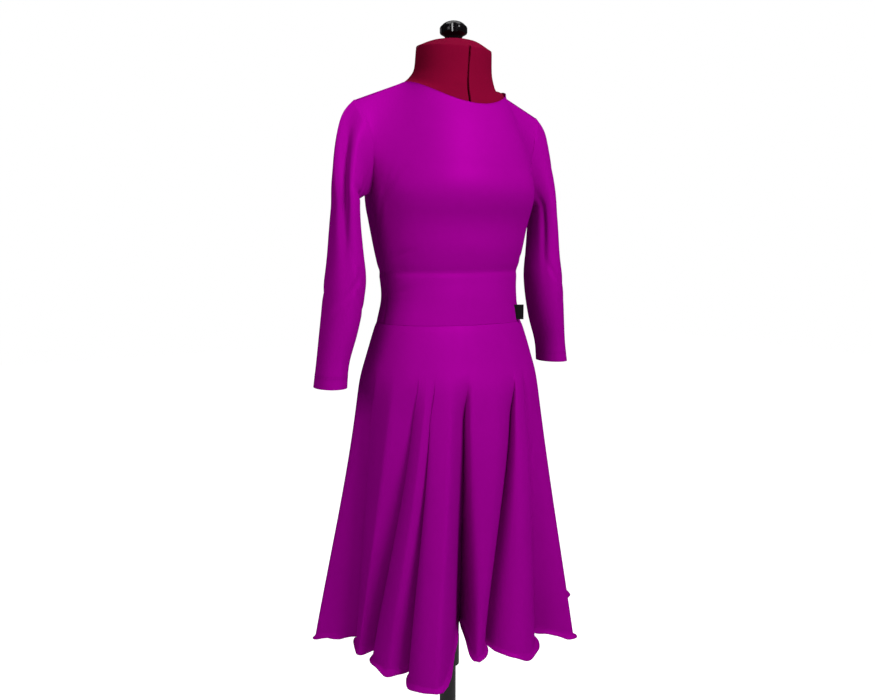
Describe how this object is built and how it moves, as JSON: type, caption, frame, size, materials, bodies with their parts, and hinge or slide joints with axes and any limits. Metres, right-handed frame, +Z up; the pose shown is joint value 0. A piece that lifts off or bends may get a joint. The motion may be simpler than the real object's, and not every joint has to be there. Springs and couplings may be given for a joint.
{
  "type": "dance dress on a dress form",
  "caption": "Fitted crepe dance dress with three-quarter sleeves, wide waistband and a full skirt falling in deep flutes, worn by a limbless dress form on a pole stand with a neck dial.",
  "frame": {"origin": "on the floor under the pole, at the centre of the stand's four legs", "axes": "+Z up, the dress faces -Y, the wearer's left side with the label is +X"},
  "size_m": [0.57, 0.57, 1.5485],
  "materials": {
    "stretch_crepe": "fine matte stretch crepe with a soft sheen",
    "woven_label": "plain woven label",
    "form_cover": "brushed knit cover",
    "dial_plastic": "glossy moulded",
    "stand_enamel": "satin enamel"
  },
  "bodies": {
    "dress_and_form": {"bodice_front": "stretch_crepe", "bodice_back": "stretch_crepe", "waistband_front": "stretch_crepe", "waistband_back": "stretch_crepe", "sleeve_left": "stretch_crepe", "sleeve_right": "stretch_crepe", "skirt_front_right": "stretch_crepe", "skirt_front_left": "stretch_crepe", "skirt_back_left": "stretch_crepe", "skirt_back_right": "stretch_crepe", "side_label": "woven_label", "form_torso": "form_cover", "stand_pole": "stand_enamel", "stand_hub": "stand_enamel", "stand_leg_1": "stand_enamel", "stand_leg_2": "stand_enamel", "stand_leg_3": "stand_enamel", "stand_leg_4": "stand_enamel"},
    "dial": {"neck_dial": "dial_plastic"}
  },
  "joints": [
    {"name": "neck_dial_turn", "type": "hinge", "parent": "dress_and_form", "child": "dial", "pos_m": [0, -0.015, 1.53], "axis": [0, 0, 1], "continuous": true}
  ]
}
